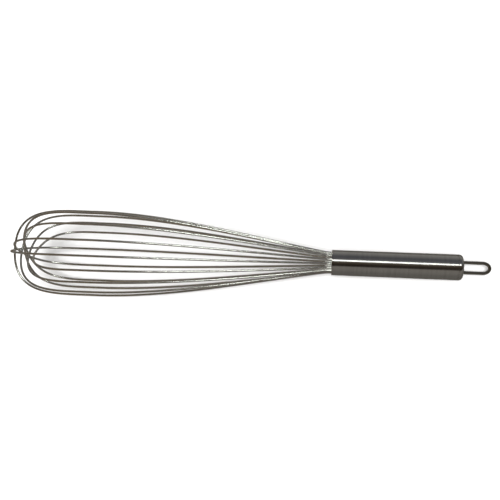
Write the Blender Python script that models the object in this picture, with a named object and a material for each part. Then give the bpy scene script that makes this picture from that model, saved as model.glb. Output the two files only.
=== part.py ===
"""Balloon whisk: eight sprung wire loops held in a closed steel tube handle with a wire hanging loop.

The whisk lies as it does on a table: the cage rests on its two lowest strands and the handle on the
bottom edge of its rear end.  +X runs from the tip of the cage to the hanging loop, +Z is up.
"""

import math

import bpy
import bmesh
from mathutils import Matrix, Vector
from mathutils.geometry import interpolate_bezier

MM = 0.001

# Driving dimensions, in metres.
OVERALL_LENGTH = 457 * MM
HANDLE_LENGTH = 118 * MM
HANDLE_RADIUS = 11.8 * MM
HANDLE_WALL = 0.9 * MM
LOOP_REACH = 25.6 * MM
CAGE_LENGTH = OVERALL_LENGTH - HANDLE_LENGTH - LOOP_REACH
CLEARANCE = 0.3 * MM

# The cage: a ring of straight wire stems at the mouth, a cone, a bulge and a blunt tip.
WIRE_RADIUS = 1.05 * MM
STEM_RING_RADIUS = 9.2 * MM
STEM_DEPTH = 44 * MM
CONE_START = 9 * MM
CONE_RADIUS = 10.0 * MM
CONE_ANGLE = math.radians(9.5)
CONE_PULL = 67 * MM
BULGE_DISTANCE = 230.5 * MM
BULGE_PULL = 74 * MM
TIP_PULL = 0.49
APEX_PULL = 1.12

# Each loop: its turn about the handle from straight down, how far its apex lies inside the outermost
# one's, its bulge radius, and how far it is bent aside from the bulge to the tip.  The values are uneven
# as the loops are hand bent.  Apexes are at least a wire and a clearance apart, since all the loops
# cross close to the axis.
LOOPS = (
    (57.0, 0.0, 40.7 * MM, 0.0),
    (37.5, 10.0 * MM, 38.6 * MM, 2.3 * MM),
    (13.0, 12.8 * MM, 38.4 * MM, 0.0),
    (-13.6, 4.8 * MM, 38.3 * MM, 0.0),
    (-37.5, 2.4 * MM, 38.5 * MM, 1.1 * MM),
    (-63.0, 24.4 * MM, 36.8 * MM, 2.8 * MM),
    (-85.0, 16.6 * MM, 36.5 * MM, 1.6 * MM),
    (-104.6, 7.5 * MM, 39.0 * MM, 0.0),
)
LOWEST_STRAND = 2

# The rear of the handle.
CAP_SHOULDER = 3.2 * MM
CAP_HEIGHT = 4.4 * MM
SPIGOT_LENGTH = 6 * MM
EYE_WIRE_RADIUS = 1.5 * MM
EYE_LEG_SPACING = 9.2 * MM
EYE_TURN = math.radians(57.9)
EYE_BEND_LENGTH = 6.2 * MM
ANCHOR_THICKNESS = 1.6 * MM

# What the handle holds.
SEAL_INSET = 0.8 * MM
SEAL_LENGTH = 8 * MM
CORE_LENGTH = 32 * MM
STOP_THICKNESS = 2.5 * MM
FILLER_LENGTH = 14 * MM

SIDES = 48
WIRE_SIDES_RESOLUTION = 1

# Colour, roughness and metallic of each material.
STEEL_WIRE = ("wire_steel", (0.42, 0.40, 0.37), 0.25, 1.0)
STEEL_TUBE = ("handle_steel", (0.50, 0.49, 0.48), 0.32, 1.0)
RESIN = ("seal_resin", (0.10, 0.10, 0.11), 0.55, 0.0)
POLYMER = ("core_polymer", (0.55, 0.53, 0.48), 0.6, 0.0)


def clear_scene():
    for thing in list(bpy.data.objects):
        bpy.data.objects.remove(thing, do_unlink=True)


def make_material(spec):
    name, colour, roughness, metallic = spec
    material = bpy.data.materials.get(name)
    if material:
        return material
    material = bpy.data.materials.new(name)
    material.use_nodes = True
    shader = material.node_tree.nodes["Principled BSDF"]
    shader.inputs["Base Color"].default_value = (*colour, 1.0)
    shader.inputs["Roughness"].default_value = roughness
    shader.inputs["Metallic"].default_value = metallic
    return material


def add_object(name, data, spec, parent):
    data.materials.append(make_material(spec))
    thing = bpy.data.objects.new(name, data)
    bpy.context.scene.collection.objects.link(thing)
    thing.parent = parent
    return thing


def resting_slope():
    """The slope of the axis when the lowest strands and the handle's rear edge touch one plane."""
    turn, inset, bulge, lean = LOOPS[LOWEST_STRAND]
    rear = HANDLE_LENGTH - CAP_SHOULDER
    strand = half_loop_points(inset, bulge)
    drops = [(point.x, point.y * math.cos(math.radians(turn)) + WIRE_RADIUS) for point in strand]
    return max(math.atan2(drop - HANDLE_RADIUS, distance + rear) for distance, drop in drops)


def add_handle_frame():
    """An empty at the mouth, its X axis down the handle, that carries every piece."""
    slope = resting_slope()
    rear = HANDLE_LENGTH - CAP_SHOULDER
    frame = bpy.data.objects.new("handle_frame", None)
    bpy.context.scene.collection.objects.link(frame)
    middle = (OVERALL_LENGTH / 2 - HANDLE_LENGTH - LOOP_REACH) * math.cos(slope)
    height = HANDLE_RADIUS * math.cos(slope) + rear * math.sin(slope)
    frame.location = (middle, 0, height)
    frame.rotation_euler = (0, slope, 0)
    return frame


def mesh_from_bmesh(name, shape):
    bmesh.ops.recalc_face_normals(shape, faces=shape.faces)
    mesh = bpy.data.meshes.new(name)
    shape.to_mesh(mesh)
    shape.free()
    mesh.shade_smooth()
    mesh.set_sharp_from_angle(angle=math.radians(35))
    return mesh


def turned(name, profile, spec, parent):
    """A piece turned about the handle's axis.  The profile is a closed run of (along, radius) points."""
    shape = bmesh.new()
    verts = [shape.verts.new((along, radius, 0)) for along, radius in profile]
    edges = [shape.edges.new((verts[i - 1], verts[i])) for i in range(len(verts))]
    on_axis = [edge for edge in edges if all(abs(v.co.y) < 1e-9 for v in edge.verts)]
    bmesh.ops.delete(shape, geom=on_axis, context="EDGES")
    geometry = shape.verts[:] + shape.edges[:]
    bmesh.ops.spin(shape, geom=geometry, axis=(1, 0, 0), cent=(0, 0, 0),
                   angle=math.tau, steps=SIDES, use_merge=True)
    bmesh.ops.remove_doubles(shape, verts=shape.verts, dist=1e-6)
    return add_object(name, mesh_from_bmesh(name, shape), spec, parent)


def disc(name, start, length, radius, spec, parent):
    profile = [(start, 0), (start, radius), (start + length, radius), (start + length, 0)]
    return turned(name, profile, spec, parent)


def half_loop_points(inset, bulge):
    """One strand of a loop from its stem end to the apex, as (distance towards the tip, radius)."""
    apex = CAGE_LENGTH - WIRE_RADIUS - inset
    cone = Vector((math.cos(CONE_ANGLE), math.sin(CONE_ANGLE), 0))
    mouth = Vector((0, STEM_RING_RADIUS, 0))
    cone_foot = Vector((CONE_START, CONE_RADIUS, 0))
    widest = Vector((BULGE_DISTANCE, bulge, 0))
    tip = Vector((apex, 0, 0))
    forward = Vector((1, 0, 0))
    outward = Vector((0, 1, 0))
    flare = interpolate_bezier(mouth, mouth + forward * CONE_START * 0.4,
                               cone_foot - cone * CONE_START * 0.4, cone_foot, 4)
    swell = interpolate_bezier(cone_foot, cone_foot + cone * CONE_PULL,
                               widest - forward * BULGE_PULL, widest, 11)
    crown = interpolate_bezier(widest, widest + forward * (apex - BULGE_DISTANCE) * TIP_PULL,
                               tip + outward * bulge * APEX_PULL, tip, 15)
    stem = Vector((-STEM_DEPTH, STEM_RING_RADIUS, 0))
    return [stem] + flare[:-1] + swell[:-1] + crown


def poly_curve(name, points, radius, resolution, spec, parent):
    """A round wire along the points, closed by flat ends."""
    data = bpy.data.curves.new(name, "CURVE")
    data.dimensions = "3D"
    data.bevel_depth = radius
    data.bevel_resolution = resolution
    data.use_fill_caps = True
    spline = data.splines.new("POLY")
    spline.points.add(len(points) - 1)
    for target, point in zip(spline.points, points):
        target.co = (*point, 1)
    spline.use_smooth = True
    return add_object(name, data, spec, parent)


def eye_direction():
    """From the axis towards the hanging loop's upper leg, which is also the side that the loops lean to."""
    return Vector((0, math.sin(EYE_TURN), math.cos(EYE_TURN)))


def loop_points(turn_degrees, inset, bulge, lean):
    """The centre line of a whole wire: stem, strand, tip, strand on the other side, stem."""
    half = half_loop_points(inset, bulge)
    other = [Vector((point.x, -point.y, 0)) for point in reversed(half[:-1])]
    roll = Matrix.Rotation(-math.pi / 2 - math.radians(turn_degrees), 3, "X")
    points = []
    for point in half + other:
        share = min(max(point.x / BULGE_DISTANCE, 0), 1)
        aside = eye_direction() * lean * share * share * (3 - 2 * share)
        points.append(roll @ Vector((-point.x, point.y, 0)) + aside)
    return points


def add_wire_loop(number, shape, frame):
    name = f"wire_loop_{number}"
    return poly_curve(name, loop_points(*shape), WIRE_RADIUS, WIRE_SIDES_RESOLUTION, STEEL_WIRE, frame)


def add_handle_tube(frame):
    end = HANDLE_LENGTH - CAP_HEIGHT - CLEARANCE / 2
    inner = HANDLE_RADIUS - HANDLE_WALL
    lip = 0.25 * MM
    profile = [(0, inner), (0, HANDLE_RADIUS - lip), (lip, HANDLE_RADIUS), (end, HANDLE_RADIUS), (end, inner)]
    return turned("handle_tube", profile, STEEL_TUBE, frame)


def drilled(shape, piece_holes, radius, start, end, frame):
    """Cuts two round holes for the hanging loop's legs through the piece."""
    for index, offset in enumerate(piece_holes):
        cutter_shape = bmesh.new()
        bmesh.ops.create_cone(cutter_shape, cap_ends=True, segments=24, radius1=radius, radius2=radius,
                              depth=end - start)
        turn = Matrix.Rotation(math.pi / 2, 4, "Y")
        place = Matrix.Translation(((start + end) / 2, offset.y, offset.z))
        bmesh.ops.transform(cutter_shape, matrix=place @ turn, verts=cutter_shape.verts)
        name = f"{shape.name}_cutter_{index}"
        cutter = add_object(name, mesh_from_bmesh(name, cutter_shape), STEEL_TUBE, frame)
        cutter.hide_render = True
        cutter.display_type = "WIRE"
        cut = shape.modifiers.new(name, "BOOLEAN")
        cut.operation = "DIFFERENCE"
        cut.solver = "EXACT"
        cut.object = cutter


def eye_leg_offsets():
    """The legs lie either side of the axis, in the plane that the hanging loop turns to."""
    return [eye_direction() * EYE_LEG_SPACING / 2, -eye_direction() * EYE_LEG_SPACING / 2]


def add_end_cap(frame):
    """The closed rear of the handle: a spigot in the tube, a rounded shoulder and a slightly domed face."""
    back = HANDLE_LENGTH
    seam = back - CAP_HEIGHT + CLEARANCE / 2
    spigot = HANDLE_RADIUS - HANDLE_WALL - CLEARANCE
    flat = HANDLE_RADIUS - CAP_SHOULDER
    profile = [(seam - SPIGOT_LENGTH, 0), (seam - SPIGOT_LENGTH, spigot), (seam, spigot), (seam, HANDLE_RADIUS)]
    steps = 7
    for i in range(steps + 1):
        angle = i / steps * math.pi / 2
        along = back - CAP_SHOULDER + CAP_SHOULDER * math.sin(angle)
        profile.append((along, flat + CAP_SHOULDER * math.cos(angle)))
    profile.append((back, 0))
    cap = turned("end_cap", profile, STEEL_TUBE, frame)
    drilled(cap, eye_leg_offsets(), EYE_WIRE_RADIUS + CLEARANCE, seam - SPIGOT_LENGTH - MM, back + MM, frame)
    return cap


def anchor_start():
    return HANDLE_LENGTH - CAP_HEIGHT - SPIGOT_LENGTH - 1 * MM - ANCHOR_THICKNESS


def add_hanging_loop(frame):
    """A wire bent to a U.  Its legs pass through the end cap and are riveted into the anchor plate."""
    inner_end = anchor_start() + ANCHOR_THICKNESS + CLEARANCE
    crown = HANDLE_LENGTH + LOOP_REACH - EYE_WIRE_RADIUS
    bend = EYE_LEG_SPACING / 2
    points = [Vector((inner_end, bend, 0))]
    steps = 16
    for i in range(steps + 1):
        angle = math.pi / 2 - i / steps * math.pi
        along = crown - EYE_BEND_LENGTH + EYE_BEND_LENGTH * math.cos(angle)
        points.append(Vector((along, bend * math.sin(angle), 0)))
    points.append(Vector((inner_end, -bend, 0)))
    loop = poly_curve("hanging_loop", points, EYE_WIRE_RADIUS, 2, STEEL_WIRE, frame)
    loop.rotation_euler = (math.pi / 2 - EYE_TURN, 0, 0)
    return loop


def add_anchor_plate(frame):
    """The disc inside the handle that the hanging loop's legs are fixed to."""
    radius = HANDLE_RADIUS - HANDLE_WALL - CLEARANCE
    return disc("loop_anchor_plate", anchor_start(), ANCHOR_THICKNESS, radius, STEEL_TUBE, frame)


def strand_turns():
    """The turn of every strand about the axis, in order round the mouth."""
    turns = []
    for turn, inset, bulge, lean in LOOPS:
        turns.append(turn % 360)
        turns.append((turn + 180) % 360)
    return sorted(turns)


def add_mouth_seal(frame):
    """Resin that closes the mouth of the handle, with a groove round each stem."""
    outer = HANDLE_RADIUS - HANDLE_WALL - CLEARANCE
    groove = WIRE_RADIUS + CLEARANCE
    half_width = math.degrees(math.asin(groove / outer))
    outline = []
    turns = strand_turns()
    for index, turn in enumerate(turns):
        centre = Vector((math.cos(math.radians(turn)), math.sin(math.radians(turn))))
        for step in range(5):
            swing = math.radians(turn + 180 + (2 - step) * 38)
            rim = centre * STEM_RING_RADIUS + Vector((math.cos(swing), math.sin(swing))) * groove
            outline.append(rim)
        following = turns[(index + 1) % len(turns)] + (360 if index == len(turns) - 1 else 0)
        for edge in (turn + half_width, following - half_width):
            outline.append(Vector((math.cos(math.radians(edge)), math.sin(math.radians(edge)))) * outer)
    shape = bmesh.new()
    start = SEAL_INSET
    face = shape.faces.new([shape.verts.new((start, -p.y, -p.x)) for p in outline])
    extruded = bmesh.ops.extrude_face_region(shape, geom=[face])
    moved = [item for item in extruded["geom"] if isinstance(item, bmesh.types.BMVert)]
    bmesh.ops.translate(shape, verts=moved, vec=(SEAL_LENGTH, 0, 0))
    bmesh.ops.triangulate(shape, faces=shape.faces)
    return add_object("mouth_seal", mesh_from_bmesh("mouth_seal", shape), RESIN, frame)


def add_handle_filling(frame):
    """The core that spreads the stems, the stop that they end against and the filler behind it."""
    core_radius = STEM_RING_RADIUS - WIRE_RADIUS - CLEARANCE
    bore = HANDLE_RADIUS - HANDLE_WALL - CLEARANCE
    core_start = SEAL_INSET + SEAL_LENGTH + CLEARANCE
    disc("core_plug", core_start, CORE_LENGTH, core_radius, POLYMER, frame)
    stop_start = STEM_DEPTH + CLEARANCE
    disc("wire_end_stop", stop_start, STOP_THICKNESS, bore, STEEL_TUBE, frame)
    filler_start = stop_start + STOP_THICKNESS + CLEARANCE
    disc("handle_filler", filler_start, FILLER_LENGTH, bore, POLYMER, frame)


def build():
    clear_scene()
    frame = add_handle_frame()
    for number, shape in enumerate(LOOPS, start=1):
        add_wire_loop(number, shape, frame)
    add_handle_tube(frame)
    add_end_cap(frame)
    add_hanging_loop(frame)
    add_anchor_plate(frame)
    add_mouth_seal(frame)
    add_handle_filling(frame)


build()
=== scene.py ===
import math

import bpy
import bmesh
from mathutils import Matrix, Vector
from mathutils.geometry import interpolate_bezier


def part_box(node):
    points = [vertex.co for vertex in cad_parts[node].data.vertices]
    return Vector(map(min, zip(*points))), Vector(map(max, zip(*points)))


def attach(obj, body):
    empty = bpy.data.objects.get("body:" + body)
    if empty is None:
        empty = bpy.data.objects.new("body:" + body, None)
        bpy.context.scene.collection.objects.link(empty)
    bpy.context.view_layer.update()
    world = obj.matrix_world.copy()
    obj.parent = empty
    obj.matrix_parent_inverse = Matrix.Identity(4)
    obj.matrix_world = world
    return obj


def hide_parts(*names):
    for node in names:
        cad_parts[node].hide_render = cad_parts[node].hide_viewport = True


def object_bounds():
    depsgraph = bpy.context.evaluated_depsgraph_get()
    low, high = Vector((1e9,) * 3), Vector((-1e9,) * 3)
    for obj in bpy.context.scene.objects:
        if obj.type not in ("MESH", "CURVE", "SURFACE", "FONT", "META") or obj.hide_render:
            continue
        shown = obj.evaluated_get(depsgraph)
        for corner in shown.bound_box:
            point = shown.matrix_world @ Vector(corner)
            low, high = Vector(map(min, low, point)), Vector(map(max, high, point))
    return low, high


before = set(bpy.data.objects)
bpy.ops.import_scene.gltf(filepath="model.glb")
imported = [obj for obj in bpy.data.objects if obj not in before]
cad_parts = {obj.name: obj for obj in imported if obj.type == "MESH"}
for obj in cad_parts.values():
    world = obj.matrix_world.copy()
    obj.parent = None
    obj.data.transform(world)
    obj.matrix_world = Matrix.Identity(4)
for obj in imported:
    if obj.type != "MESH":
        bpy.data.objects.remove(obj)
CAD_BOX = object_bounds()

MM = 0.001
BODY = "root"

# The design's own dimensions, as the CAD source gives them.
HANDLE_LENGTH = 118 * MM
HANDLE_RADIUS = 11.8 * MM
HANDLE_WALL = 0.9 * MM
CAP_HEIGHT = 4.4 * MM
CAP_SHOULDER = 3.2 * MM
LOOP_REACH = 25.6 * MM
CAGE_LENGTH = 313.4 * MM
WIRE_RADIUS = 1.05 * MM
STEM_RING_RADIUS = 9.2 * MM
STEM_DEPTH = 44 * MM
CONE_START = 9 * MM
CONE_RADIUS = 10.0 * MM
CONE_ANGLE = math.radians(9.5)
CONE_PULL = 67 * MM
BULGE_DISTANCE = 230.5 * MM
BULGE_PULL = 74 * MM
TIP_PULL = 0.49
APEX_PULL = 1.12
EYE_WIRE_RADIUS = 1.5 * MM
EYE_LEG_SPACING = 9.2 * MM
EYE_TURN = math.radians(57.9)
EYE_BEND_LENGTH = 6.2 * MM
CORE_CENTRE = 25.1 * MM

# How finely the round shapes are divided.
WIRE_SIDES = 20
EYE_WIRE_SIDES = 28
FLARE_STEPS = 8
SWELL_STEPS = 40
CROWN_STEPS = 48
EYE_BEND_STEPS = 40
HANDLE_SIDES = 160
SEAL_SIDES = 96
BEAD_SIDES = 40

# The small shapes of the handle that only the looks need.
RIM_RADIUS = 0.2 * MM
SEAM_HALF_GAP = 0.05 * MM
TUBE_END_GAP = 0.15 * MM
SPIGOT_LENGTH = 6 * MM
SPIGOT_GAP = 0.3 * MM
SEAM_GROOVE_DEPTH = 0.35 * MM
EYE_LEG_DEPTH = 10 * MM
BEAD_RADIUS = 0.45 * MM
SEAL_BACK = 8.8 * MM
SEAL_FACE = 0.9 * MM
SEAL_GAP = 0.02 * MM

# Each loop: its turn from straight down, how far its apex lies inside the outermost one's, its bulge,
# and how far it is bent aside by the time it reaches the bulge.
LOOPS = (
    (57.0, 0.0, 40.7 * MM, 0.0),
    (37.5, 10.0 * MM, 38.6 * MM, 2.3 * MM),
    (13.0, 12.8 * MM, 38.4 * MM, 0.0),
    (-13.6, 4.8 * MM, 38.3 * MM, 0.0),
    (-37.5, 2.4 * MM, 38.5 * MM, 1.1 * MM),
    (-63.0, 24.4 * MM, 36.8 * MM, 2.8 * MM),
    (-85.0, 16.6 * MM, 36.5 * MM, 1.6 * MM),
    (-104.6, 7.5 * MM, 39.0 * MM, 0.0),
)

# The camera stands square to the mouth of the handle, and is turned to take in the whole whisk.
CAMERA_DISTANCE = 0.610
CAMERA_ELEVATION = math.radians(57.9)
CAMERA_FOCAL = 46.7064
CAMERA_AIM_ALONG = -77.13 * MM
CAMERA_AIM_UP = 8.92 * MM
CAMERA_ROLL = math.radians(-16.907)
CAMERA_SENSOR = 36.0
CAMERA_CLIP_START = 0.01

# The floor, just under the whisk.
FLOOR_HALF_WIDTH = 6.0
FLOOR_TONE = (0.93, 0.93, 0.93)
FLOOR_GAP = 0.2 * MM

# The strip lights hang above the handle's line, leaning back. Each runs from left to right along X.
STRIP_HEIGHT = 1.1
STRIP_LEAN = math.radians(80)
STRIP_LEFT = -0.165
STRIP_RIGHT = 0.78
STRIP_WIDTH = 0.11
STRIP_POWER = 1.85
STRIP_COLOUR = (0.985, 1.0, 0.95)
WIRE_STRIP_LEFT = -0.11
WIRE_STRIP_RIGHT = 0.30
WIRE_STRIP_WIDTH = 0.24
WIRE_STRIP_POWER = 2.8
WIRE_STRIP_COLOUR = (0.94, 1.0, 0.92)

# The wide sources that light the floor: how many degrees each spans, and its strength.
FRONT_SPREAD = 25
FRONT_STRENGTH = 3.75
CEILING_SPREAD = 100
CEILING_STRENGTH = 0.72

# The studio that the steel mirrors, by the angle above the horizon in front (0) and over to behind (180).
STUDIO_RING = (
    (-175, (0.150, 0.140, 0.125)),
    (-70, (0.150, 0.140, 0.125)),
    (-35, (0.165, 0.155, 0.140)),
    (2, (0.220, 0.205, 0.185)),
    (25, (0.225, 0.208, 0.185)),
    (31, (0.020, 0.016, 0.012)),
    (50, (0.034, 0.025, 0.017)),
    (64, (0.075, 0.055, 0.038)),
    (74, (0.100, 0.080, 0.058)),
    (86, (0.150, 0.155, 0.150)),
    (98, (0.098, 0.099, 0.108)),
    (122, (0.098, 0.098, 0.105)),
    (150, (0.220, 0.215, 0.205)),
    (178, (0.300, 0.290, 0.275)),
)
# And its tint by how far the direction points from the tip (-1) to the hanging loop (1).
STUDIO_TINT = (
    (-1.0, (0.50, 0.48, 0.46)),
    (-0.68, (0.50, 0.48, 0.45)),
    (-0.55, (0.64, 0.57, 0.48)),
    (-0.36, (0.64, 0.58, 0.49)),
    (-0.20, (0.50, 0.50, 0.50)),
    (1.0, (0.50, 0.50, 0.50)),
)
STUDIO_STRENGTH = 2.0
# What shows past the floor's far edge when the view is low.
BACKDROP_TONE = (0.86, 0.86, 0.86)


def centre_of(node):
    low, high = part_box(node)
    return (low + high) / 2


def handle_matrix():
    """The handle's own frame: origin at the mouth, X down the axis to the hanging loop, Y level."""
    axis = (centre_of("handle_filler") - centre_of("core_plug")).normalized()
    mouth = centre_of("core_plug") - axis * CORE_CENTRE
    level = Vector((0, 1, 0))
    upright = axis.cross(level)
    matrix = Matrix((axis, level, upright)).transposed().to_4x4()
    matrix.translation = mouth
    return matrix


HANDLE = handle_matrix()


# ---------------------------------------------------------------- mesh tools

def finish_mesh(name, shape, material, place, slot, *nodes):
    """Turns a bmesh into a smooth piece in its place, riding on the one body."""
    bmesh.ops.transform(shape, matrix=place, verts=shape.verts)
    mesh = bpy.data.meshes.new(name)
    shape.to_mesh(mesh)
    shape.free()
    mesh.shade_smooth()
    mesh.materials.append(material)
    piece = bpy.data.objects.new(name, mesh)
    bpy.context.scene.collection.objects.link(piece)
    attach(piece, BODY)
    if nodes:
        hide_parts(*nodes)
    return piece


def sweep(path, radius, sides, across):
    """A round tube along a path that lies in one plane; across is the plane's normal.  UV is metres."""
    shape = bmesh.new()
    layer = shape.loops.layers.uv.new("UVMap")
    rings = []
    travelled = [0.0]
    for i, point in enumerate(path):
        before = path[max(i - 1, 0)]
        after = path[min(i + 1, len(path) - 1)]
        tangent = (after - before).normalized()
        outward = across.cross(tangent).normalized()
        ring = []
        for k in range(sides):
            angle = k / sides * math.tau
            spoke = outward * math.cos(angle) + across * math.sin(angle)
            ring.append(shape.verts.new(point + spoke * radius))
        rings.append(ring)
        if i:
            travelled.append(travelled[-1] + (point - path[i - 1]).length)
    girth = math.tau * radius
    for i in range(len(rings) - 1):
        here, there = rings[i], rings[i + 1]
        for k in range(sides):
            following = (k + 1) % sides
            face = shape.faces.new((here[k], here[following], there[following], there[k]))
            corners = ((i, k), (i, k + 1), (i + 1, k + 1), (i + 1, k))
            for loop, (ring_index, step) in zip(face.loops, corners):
                loop[layer].uv = (travelled[ring_index], step / sides * girth)
    shape.faces.new(list(reversed(rings[0])))
    shape.faces.new(rings[-1])
    bmesh.ops.recalc_face_normals(shape, faces=shape.faces)
    return shape


def lathe(profile, steps):
    """A piece turned about X from a closed run of (along, radius) points."""
    shape = bmesh.new()
    rings = []
    for along, radius in profile:
        if radius < 1e-7:
            rings.append([shape.verts.new((along, 0, 0))])
            continue
        ring = []
        for k in range(steps):
            angle = k / steps * math.tau
            ring.append(shape.verts.new((along, radius * math.cos(angle), radius * math.sin(angle))))
        rings.append(ring)
    for i in range(len(rings)):
        here, there = rings[i - 1], rings[i]
        if len(here) == 1 and len(there) == 1:
            continue
        for k in range(steps):
            following = (k + 1) % steps
            corners = [here[k % len(here)], here[following % len(here)],
                       there[following % len(there)], there[k % len(there)]]
            unique = list(dict.fromkeys(corners))
            shape.faces.new(unique)
    bmesh.ops.recalc_face_normals(shape, faces=shape.faces)
    return shape


def arc(centre_along, centre_radius, radius, start, end, steps):
    """Profile points on an arc, from one angle to another: 0 is towards the hanging loop, 90 outward."""
    points = []
    for i in range(steps + 1):
        angle = math.radians(start + (end - start) * i / steps)
        along = centre_along + radius * math.cos(angle)
        points.append((along, centre_radius + radius * math.sin(angle)))
    return points


# ---------------------------------------------------------------- materials

def new_material(name):
    material = bpy.data.materials.new(name)
    material.use_nodes = True
    tree = material.node_tree
    shader = tree.nodes["Principled BSDF"]
    return material, tree, shader


def add_node(tree, kind, **inputs):
    node = tree.nodes.new(kind)
    for name, value in inputs.items():
        node.inputs[name.replace("_", " ")].default_value = value
    return node


def handle_coordinates(tree):
    """Object coordinates, turned so that X runs along the handle."""
    coordinates = tree.nodes.new("ShaderNodeTexCoord")
    turn = tree.nodes.new("ShaderNodeVectorRotate")
    turn.rotation_type = "Y_AXIS"
    axis = HANDLE.to_3x3() @ Vector((1, 0, 0))
    turn.inputs["Angle"].default_value = math.atan2(axis.z, axis.x)
    tree.links.new(coordinates.outputs["Object"], turn.inputs["Vector"])
    return turn.outputs["Vector"]


def ramp(tree, source, stops):
    """A colour ramp on a value, from (position, colour) stops."""
    node = tree.nodes.new("ShaderNodeValToRGB")
    elements = node.color_ramp.elements
    while len(elements) < len(stops):
        elements.new(0.5)
    for element, (position, colour) in zip(elements, stops):
        element.position = position
        element.color = (*colour, 1.0)
    tree.links.new(source, node.inputs["Fac"])
    return node


def stretched_noise(tree, coordinates, stretch, scale, detail):
    mapping = tree.nodes.new("ShaderNodeMapping")
    mapping.inputs["Scale"].default_value = stretch
    tree.links.new(coordinates, mapping.inputs["Vector"])
    noise = add_node(tree, "ShaderNodeTexNoise", Scale=scale, Detail=detail, Roughness=0.6)
    tree.links.new(mapping.outputs["Vector"], noise.inputs["Vector"])
    return noise


def to_range(tree, source, low, high):
    """Spreads a value of 0 to 1 over low to high."""
    node = tree.nodes.new("ShaderNodeMapRange")
    node.inputs["To Min"].default_value = low
    node.inputs["To Max"].default_value = high
    tree.links.new(source, node.inputs["Value"])
    return node.outputs["Result"]


def add_bump(tree, shader, height, strength, distance):
    bump = add_node(tree, "ShaderNodeBump", Strength=strength, Distance=distance)
    tree.links.new(height, bump.inputs["Height"])
    tree.links.new(bump.outputs["Normal"], shader.inputs["Normal"])


def wire_steel(name, tone, smooth=0.14, rough=0.24):
    """Drawn stainless wire: bright, with fine lines along its length and slightly uneven dulling."""
    material, tree, shader = new_material(name)
    coordinates = tree.nodes.new("ShaderNodeTexCoord")
    lines = stretched_noise(tree, coordinates.outputs["UV"], (60, 4200, 1), 1.0, 3.0)
    patches = stretched_noise(tree, coordinates.outputs["Object"], (1, 1, 1), 55.0, 4.0)
    colour = ramp(tree, patches.outputs["Fac"], (
        (0.30, tuple(0.86 * c for c in tone)),
        (0.52, tone),
        (0.72, tuple(min(1.08 * c, 1) for c in tone)),
    ))
    tree.links.new(colour.outputs["Color"], shader.inputs["Base Color"])
    shader.inputs["Metallic"].default_value = 1.0
    roughness = to_range(tree, lines.outputs["Fac"], smooth, rough)
    tree.links.new(roughness, shader.inputs["Roughness"])
    add_bump(tree, shader, lines.outputs["Fac"], 0.12, 0.00004)
    return material


def tube_steel(name, tone):
    """Satin tube: fine scratches round its girth, faint marks along it and a light handling bloom."""
    material, tree, shader = new_material(name)
    coordinates = handle_coordinates(tree)
    rings = stretched_noise(tree, coordinates, (5200, 90, 90), 1.0, 3.0)
    bands = stretched_noise(tree, coordinates, (420, 12, 12), 1.0, 2.0)
    bloom = stretched_noise(tree, coordinates, (1, 1, 1), 38.0, 4.0)
    mix = tree.nodes.new("ShaderNodeMix")
    mix.inputs["Factor"].default_value = 0.35
    tree.links.new(bands.outputs["Fac"], mix.inputs[2])
    tree.links.new(bloom.outputs["Fac"], mix.inputs[3])
    colour = ramp(tree, mix.outputs[0], (
        (0.28, tuple(0.90 * c for c in tone)),
        (0.50, tone),
        (0.74, tuple(min(1.06 * c, 1) for c in tone)),
    ))
    tree.links.new(colour.outputs["Color"], shader.inputs["Base Color"])
    shader.inputs["Metallic"].default_value = 1.0
    roughness = to_range(tree, bloom.outputs["Fac"], 0.13, 0.22)
    tree.links.new(roughness, shader.inputs["Roughness"])
    add_bump(tree, shader, rings.outputs["Fac"], 0.10, 0.00003)
    return material


def dull_material(name, dark, light, scale, roughness):
    """Resin or plastic: mottled colour with a grainy skin."""
    material, tree, shader = new_material(name)
    coordinates = tree.nodes.new("ShaderNodeTexCoord")
    mottle = stretched_noise(tree, coordinates.outputs["Object"], (1, 1, 1), scale, 5.0)
    grain = stretched_noise(tree, coordinates.outputs["Object"], (1, 1, 1), scale * 9, 2.0)
    colour = ramp(tree, mottle.outputs["Fac"], ((0.35, dark), (0.65, light)))
    tree.links.new(colour.outputs["Color"], shader.inputs["Base Color"])
    varied = to_range(tree, grain.outputs["Fac"], roughness * 0.8, roughness * 1.2)
    tree.links.new(varied, shader.inputs["Roughness"])
    add_bump(tree, shader, grain.outputs["Fac"], 0.2, 0.00006)
    return material


WIRE = wire_steel("wire_steel", (0.80, 0.79, 0.775))
# Painted shade: the hanging loop and its weld beads take the same wire steel in a much darker tone, so that
# they look shaded and dull.
EYE_WIRE_PAINTED_SHADE = wire_steel("eye_wire_steel_painted_shade", (0.42, 0.405, 0.37), 0.30, 0.44)
TUBE = tube_steel("handle_steel", (0.58, 0.575, 0.565))
RESIN = dull_material("seal_resin", (0.035, 0.035, 0.04), (0.07, 0.068, 0.065), 900.0, 0.45)
POLYMER = dull_material("core_polymer", (0.50, 0.48, 0.42), (0.60, 0.58, 0.52), 600.0, 0.6)


# ---------------------------------------------------------------- the cage

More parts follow.
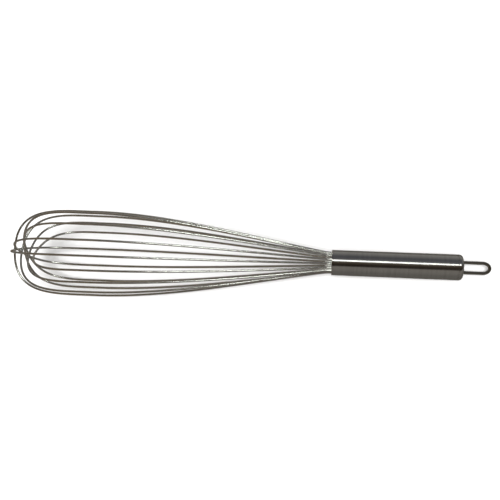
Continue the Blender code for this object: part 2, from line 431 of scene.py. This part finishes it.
def half_loop(inset, bulge):
    """One strand from its stem end to the apex, as (distance towards the tip, radius)."""
    apex = CAGE_LENGTH - WIRE_RADIUS - inset
    cone = Vector((math.cos(CONE_ANGLE), math.sin(CONE_ANGLE), 0))
    mouth = Vector((0, STEM_RING_RADIUS, 0))
    cone_foot = Vector((CONE_START, CONE_RADIUS, 0))
    widest = Vector((BULGE_DISTANCE, bulge, 0))
    tip = Vector((apex, 0, 0))
    forward = Vector((1, 0, 0))
    outward = Vector((0, 1, 0))
    flare = interpolate_bezier(mouth, mouth + forward * CONE_START * 0.4,
                               cone_foot - cone * CONE_START * 0.4, cone_foot, FLARE_STEPS)
    swell = interpolate_bezier(cone_foot, cone_foot + cone * CONE_PULL,
                               widest - forward * BULGE_PULL, widest, SWELL_STEPS)
    crown = interpolate_bezier(widest, widest + forward * (apex - BULGE_DISTANCE) * TIP_PULL,
                               tip + outward * bulge * APEX_PULL, tip, CROWN_STEPS)
    stem = Vector((-STEM_DEPTH, STEM_RING_RADIUS, 0))
    return [stem] + flare[:-1] + swell[:-1] + crown


def eye_direction():
    """From the axis towards the hanging loop's upper leg, the side that the bent loops lean to."""
    return Vector((0, math.sin(EYE_TURN), math.cos(EYE_TURN)))


def add_cage():
    """The eight loops: each half loop is mirrored, rolled about the axis, and bent aside by its lean."""
    for number, (turn, inset, bulge, lean) in enumerate(LOOPS, start=1):
        half = half_loop(inset, bulge)
        other = [Vector((point.x, -point.y, 0)) for point in reversed(half[:-1])]
        roll = Matrix.Rotation(-math.pi / 2 - math.radians(turn), 3, "X")
        path = []
        for point in half + other:
            share = min(max(point.x / BULGE_DISTANCE, 0), 1)
            aside = eye_direction() * lean * share * share * (3 - 2 * share)
            path.append(roll @ Vector((-point.x, point.y, 0)) + aside)
        shape = sweep(path, WIRE_RADIUS, WIRE_SIDES, roll @ Vector((0, 0, 1)))
        finish_mesh(f"whisk_wire_{number}", shape, WIRE, HANDLE, "wire_steel", f"wire_loop_{number}")


# ---------------------------------------------------------------- the handle

def add_tube():
    """The grip: a tube with a round lip at the mouth and a small rim at the cap's seam."""
    end = HANDLE_LENGTH - CAP_HEIGHT - TUBE_END_GAP
    inner = HANDLE_RADIUS - HANDLE_WALL
    lip = HANDLE_WALL / 2
    profile = arc(lip, HANDLE_RADIUS - lip, lip, 180, 90, 6)
    profile += arc(end - RIM_RADIUS, HANDLE_RADIUS - RIM_RADIUS, RIM_RADIUS, 90, 0, 4)
    profile.append((end, inner))
    profile += arc(lip, HANDLE_RADIUS - lip, lip, 270, 190, 5)
    shape = lathe(profile, HANDLE_SIDES)
    finish_mesh("satin_handle_tube", shape, TUBE, HANDLE, "handle_steel", "handle_tube")


def add_cap():
    """The cap: a spigot inside the tube, a groove at the seam, a round shoulder and a barely domed face."""
    seam = HANDLE_LENGTH - CAP_HEIGHT + SEAM_HALF_GAP
    spigot = HANDLE_RADIUS - HANDLE_WALL - SPIGOT_GAP
    neck = HANDLE_RADIUS - SEAM_GROOVE_DEPTH
    start = seam - SPIGOT_LENGTH
    flat = HANDLE_RADIUS - CAP_SHOULDER
    profile = [
        (start, 0),
        (start, spigot),
        (seam - 0.6 * MM, spigot),
        (seam - 0.6 * MM, neck - 0.2 * MM),
        (seam - 0.1 * MM, neck),
    ]
    profile += arc(seam + RIM_RADIUS, HANDLE_RADIUS - RIM_RADIUS, RIM_RADIUS, 180, 90, 4)
    profile += arc(HANDLE_LENGTH - CAP_SHOULDER, flat, CAP_SHOULDER, 90, 8, 14)
    profile += [(HANDLE_LENGTH + 0.02 * MM, flat * 0.6), (HANDLE_LENGTH + 0.03 * MM, 0)]
    shape = lathe(profile, HANDLE_SIDES)
    finish_mesh("welded_end_cap", shape, TUBE, HANDLE, "handle_steel", "end_cap")


def eye_matrix():
    """The handle's frame turned about its axis, so that Y runs between the hanging loop's legs."""
    return HANDLE @ Matrix.Rotation(math.pi / 2 - EYE_TURN, 4, "X")


def add_eye():
    """The hanging loop and the small weld beads where its legs meet the cap."""
    bend = EYE_LEG_SPACING / 2
    crown = HANDLE_LENGTH + LOOP_REACH - EYE_WIRE_RADIUS
    inner = HANDLE_LENGTH - EYE_LEG_DEPTH
    path = [Vector((inner, bend, 0)), Vector((HANDLE_LENGTH, bend, 0))]
    for i in range(EYE_BEND_STEPS + 1):
        angle = math.pi / 2 - i / EYE_BEND_STEPS * math.pi
        along = crown - EYE_BEND_LENGTH + EYE_BEND_LENGTH * math.cos(angle)
        path.append(Vector((along, bend * math.sin(angle), 0)))
    path += [Vector((HANDLE_LENGTH, -bend, 0)), Vector((inner, -bend, 0))]
    shape = sweep(path, EYE_WIRE_RADIUS, EYE_WIRE_SIDES, Vector((0, 0, 1)))
    finish_mesh("hanging_eye_wire", shape, EYE_WIRE_PAINTED_SHADE, eye_matrix(), "wire_steel", "hanging_loop")
    bore = EYE_WIRE_RADIUS - 0.1 * MM
    foot = -0.4 * MM
    for number, side in enumerate((1, -1), start=1):
        profile = [(foot, bore), (foot, EYE_WIRE_RADIUS + BEAD_RADIUS)]
        profile += arc(0, EYE_WIRE_RADIUS, BEAD_RADIUS, 85, 15, 6)
        profile += [(BEAD_RADIUS, bore)]
        shape = lathe(profile, BEAD_SIDES)
        place = eye_matrix() @ Matrix.Translation((HANDLE_LENGTH, side * bend, 0))
        finish_mesh(f"eye_weld_bead_{number}", shape, EYE_WIRE_PAINTED_SHADE, place, "wire_steel")


def add_seal():
    """Resin just inside the mouth, slightly dished, with the stems standing out of it."""
    bore = HANDLE_RADIUS - HANDLE_WALL - SEAL_GAP
    profile = [
        (SEAL_BACK, 0),
        (SEAL_BACK, bore),
        (SEAL_FACE - 0.4 * MM, bore),
        (SEAL_FACE, bore - 0.5 * MM),
        (SEAL_FACE + 0.1 * MM, bore * 0.7),
        (SEAL_FACE + 0.5 * MM, bore * 0.3),
        (SEAL_FACE + 0.6 * MM, 0),
    ]
    finish_mesh("mouth_resin", lathe(profile, SEAL_SIDES), RESIN, HANDLE, "seal_resin", "mouth_seal")


def paint_inner_nodes():
    """The pieces inside the handle stay as the CAD has them, with their own materials."""
    inner = {
        "core_plug": POLYMER,
        "handle_filler": POLYMER,
        "wire_end_stop": TUBE,
        "loop_anchor_plate": TUBE,
    }
    for name, material in inner.items():
        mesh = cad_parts[name].data
        mesh.materials.clear()
        mesh.materials.append(material)


# ---------------------------------------------------------------- the studio

def add_floor():
    """A plain pale floor, which the steel doesn't mirror."""
    shape = bmesh.new()
    bmesh.ops.create_grid(shape, x_segments=2, y_segments=2, size=FLOOR_HALF_WIDTH)
    mesh = bpy.data.meshes.new("floor")
    shape.to_mesh(mesh)
    shape.free()
    material, tree, shader = new_material("pale_floor")
    shader.inputs["Base Color"].default_value = (*FLOOR_TONE, 1.0)
    shader.inputs["Roughness"].default_value = 0.9
    shader.inputs["Specular IOR Level"].default_value = 0.1
    mesh.materials.append(material)
    floor = bpy.data.objects.new("floor", mesh)
    bpy.context.scene.collection.objects.link(floor)
    floor.location.z = CAD_BOX[0].z - FLOOR_GAP
    floor.visible_glossy = False


def from_range(tree, source, low, high):
    """Brings a value of low to high down to 0 to 1."""
    node = tree.nodes.new("ShaderNodeMapRange")
    node.inputs["From Min"].default_value = low
    node.inputs["From Max"].default_value = high
    tree.links.new(source, node.inputs["Value"])
    return node.outputs["Result"]


def studio_ring(tree, directions):
    """The studio's colour by the angle of a direction about X, from the front up and over."""
    forward = tree.nodes.new("ShaderNodeMath")
    forward.operation = "MULTIPLY"
    forward.inputs[1].default_value = -1.0
    tree.links.new(directions.outputs["Y"], forward.inputs[0])
    angle = tree.nodes.new("ShaderNodeMath")
    angle.operation = "ARCTAN2"
    tree.links.new(directions.outputs["Z"], angle.inputs[0])
    tree.links.new(forward.outputs["Value"], angle.inputs[1])
    share = from_range(tree, angle.outputs["Value"], -math.pi, math.pi)
    stops = [((degrees + 180) / 360, colour) for degrees, colour in STUDIO_RING]
    return ramp(tree, share, stops)


def studio_tint(tree, directions):
    """The studio's tint by how far a direction points along X."""
    share = from_range(tree, directions.outputs["X"], -1.0, 1.0)
    stops = [((x + 1) / 2, colour) for x, colour in STUDIO_TINT]
    return ramp(tree, share, stops)


def add_world():
    """A dim studio, painted by direction, that the steel mirrors, and a plain backdrop past the floor."""
    world = bpy.data.worlds.new("studio")
    bpy.context.scene.world = world
    world.use_nodes = True
    tree = world.node_tree
    background = tree.nodes["Background"]
    coordinates = tree.nodes.new("ShaderNodeTexCoord")
    directions = tree.nodes.new("ShaderNodeSeparateXYZ")
    tree.links.new(coordinates.outputs["Generated"], directions.inputs["Vector"])
    ring = studio_ring(tree, directions)
    tint = studio_tint(tree, directions)
    mix = tree.nodes.new("ShaderNodeMix")
    mix.data_type = "RGBA"
    mix.blend_type = "MULTIPLY"
    mix.inputs["Factor"].default_value = 1.0
    tree.links.new(ring.outputs["Color"], mix.inputs[6])
    tree.links.new(tint.outputs["Color"], mix.inputs[7])
    tree.links.new(mix.outputs[2], background.inputs["Color"])
    background.inputs["Strength"].default_value = STUDIO_STRENGTH
    backdrop = add_node(tree, "ShaderNodeBackground", Color=(*BACKDROP_TONE, 1.0))
    path = tree.nodes.new("ShaderNodeLightPath")
    seen = tree.nodes.new("ShaderNodeMixShader")
    tree.links.new(path.outputs["Is Camera Ray"], seen.inputs["Fac"])
    tree.links.new(background.outputs["Background"], seen.inputs[1])
    tree.links.new(backdrop.outputs["Background"], seen.inputs[2])
    tree.links.new(seen.outputs["Shader"], tree.nodes["World Output"].inputs["Surface"])


def add_strip(name, left, right, width, power, colour, names):
    """A long softbox over the whisk, whose light and mirror image reach only the named pieces."""
    data = bpy.data.lights.new(name, "AREA")
    data.shape = "RECTANGLE"
    data.size = right - left
    data.size_y = width
    data.energy = power
    data.color = colour
    lamp = bpy.data.objects.new(name, data)
    bpy.context.scene.collection.objects.link(lamp)
    lamp.location = ((left + right) / 2, -STRIP_HEIGHT / math.tan(STRIP_LEAN), STRIP_HEIGHT)
    aim = Vector((lamp.location.x, 0, 0)) - lamp.location
    lamp.rotation_euler = aim.to_track_quat("-Z", "Y").to_euler()
    lit = bpy.data.collections.new(f"{name}_lit")
    for piece in names:
        lit.objects.link(bpy.data.objects[piece])
    lamp.light_linking.receiver_collection = lit


def add_sun(name, direction, spread, strength):
    """A very wide soft source that lights the floor evenly and that the steel doesn't mirror."""
    data = bpy.data.lights.new(name, "SUN")
    data.angle = math.radians(spread)
    data.energy = strength
    lamp = bpy.data.objects.new(name, data)
    bpy.context.scene.collection.objects.link(lamp)
    lamp.rotation_euler = (-direction).to_track_quat("-Z", "Y").to_euler()
    lamp.visible_glossy = False


def add_lights():
    """A strip for the handle, one for the cage, and two wide sources for the floor."""
    add_strip("handle_strip_softbox", STRIP_LEFT, STRIP_RIGHT, STRIP_WIDTH, STRIP_POWER, STRIP_COLOUR,
              ("satin_handle_tube", "welded_end_cap"))
    add_strip("wire_strip_softbox", WIRE_STRIP_LEFT, WIRE_STRIP_RIGHT, WIRE_STRIP_WIDTH, WIRE_STRIP_POWER,
              WIRE_STRIP_COLOUR, [f"whisk_wire_{number}" for number in range(1, len(LOOPS) + 1)])
    front = Vector((0, -math.cos(CAMERA_ELEVATION), math.sin(CAMERA_ELEVATION)))
    add_sun("front_softbox", front, FRONT_SPREAD, FRONT_STRENGTH)
    add_sun("ceiling_softbox", Vector((0, 0, 1)), CEILING_SPREAD, CEILING_STRENGTH)


def add_camera():
    """Stands out from the mouth, square to the handle, and looks at a point towards the cage."""
    data = bpy.data.cameras.new("camera")
    data.sensor_width = CAMERA_SENSOR
    data.lens = CAMERA_FOCAL
    camera = bpy.data.objects.new("camera", data)
    bpy.context.scene.collection.objects.link(camera)
    turned = HANDLE.to_3x3()
    axis = turned @ Vector((1, 0, 0))
    away = turned @ Vector((0, -math.cos(CAMERA_ELEVATION), math.sin(CAMERA_ELEVATION)))
    image_up = turned @ Vector((0, math.sin(CAMERA_ELEVATION), math.cos(CAMERA_ELEVATION)))
    mouth = HANDLE.translation
    place = mouth + away * CAMERA_DISTANCE
    aim = mouth + axis * CAMERA_AIM_ALONG + image_up * CAMERA_AIM_UP
    look = (aim - place).normalized()
    level_right = look.cross(Vector((0, 0, 1))).normalized()
    level_up = level_right.cross(look)
    right = level_right * math.cos(CAMERA_ROLL) + level_up * math.sin(CAMERA_ROLL)
    up = level_up * math.cos(CAMERA_ROLL) - level_right * math.sin(CAMERA_ROLL)
    matrix = Matrix((right, up, -look)).transposed().to_4x4()
    matrix.translation = place
    camera.matrix_world = matrix
    data.clip_start = CAMERA_CLIP_START
    bpy.context.scene.camera = camera


add_cage()
add_tube()
add_cap()
add_eye()
add_seal()
paint_inner_nodes()
add_floor()
add_world()
add_lights()
add_camera()
bpy.context.scene.view_settings.view_transform = "Standard"

bpy.context.view_layer.update()
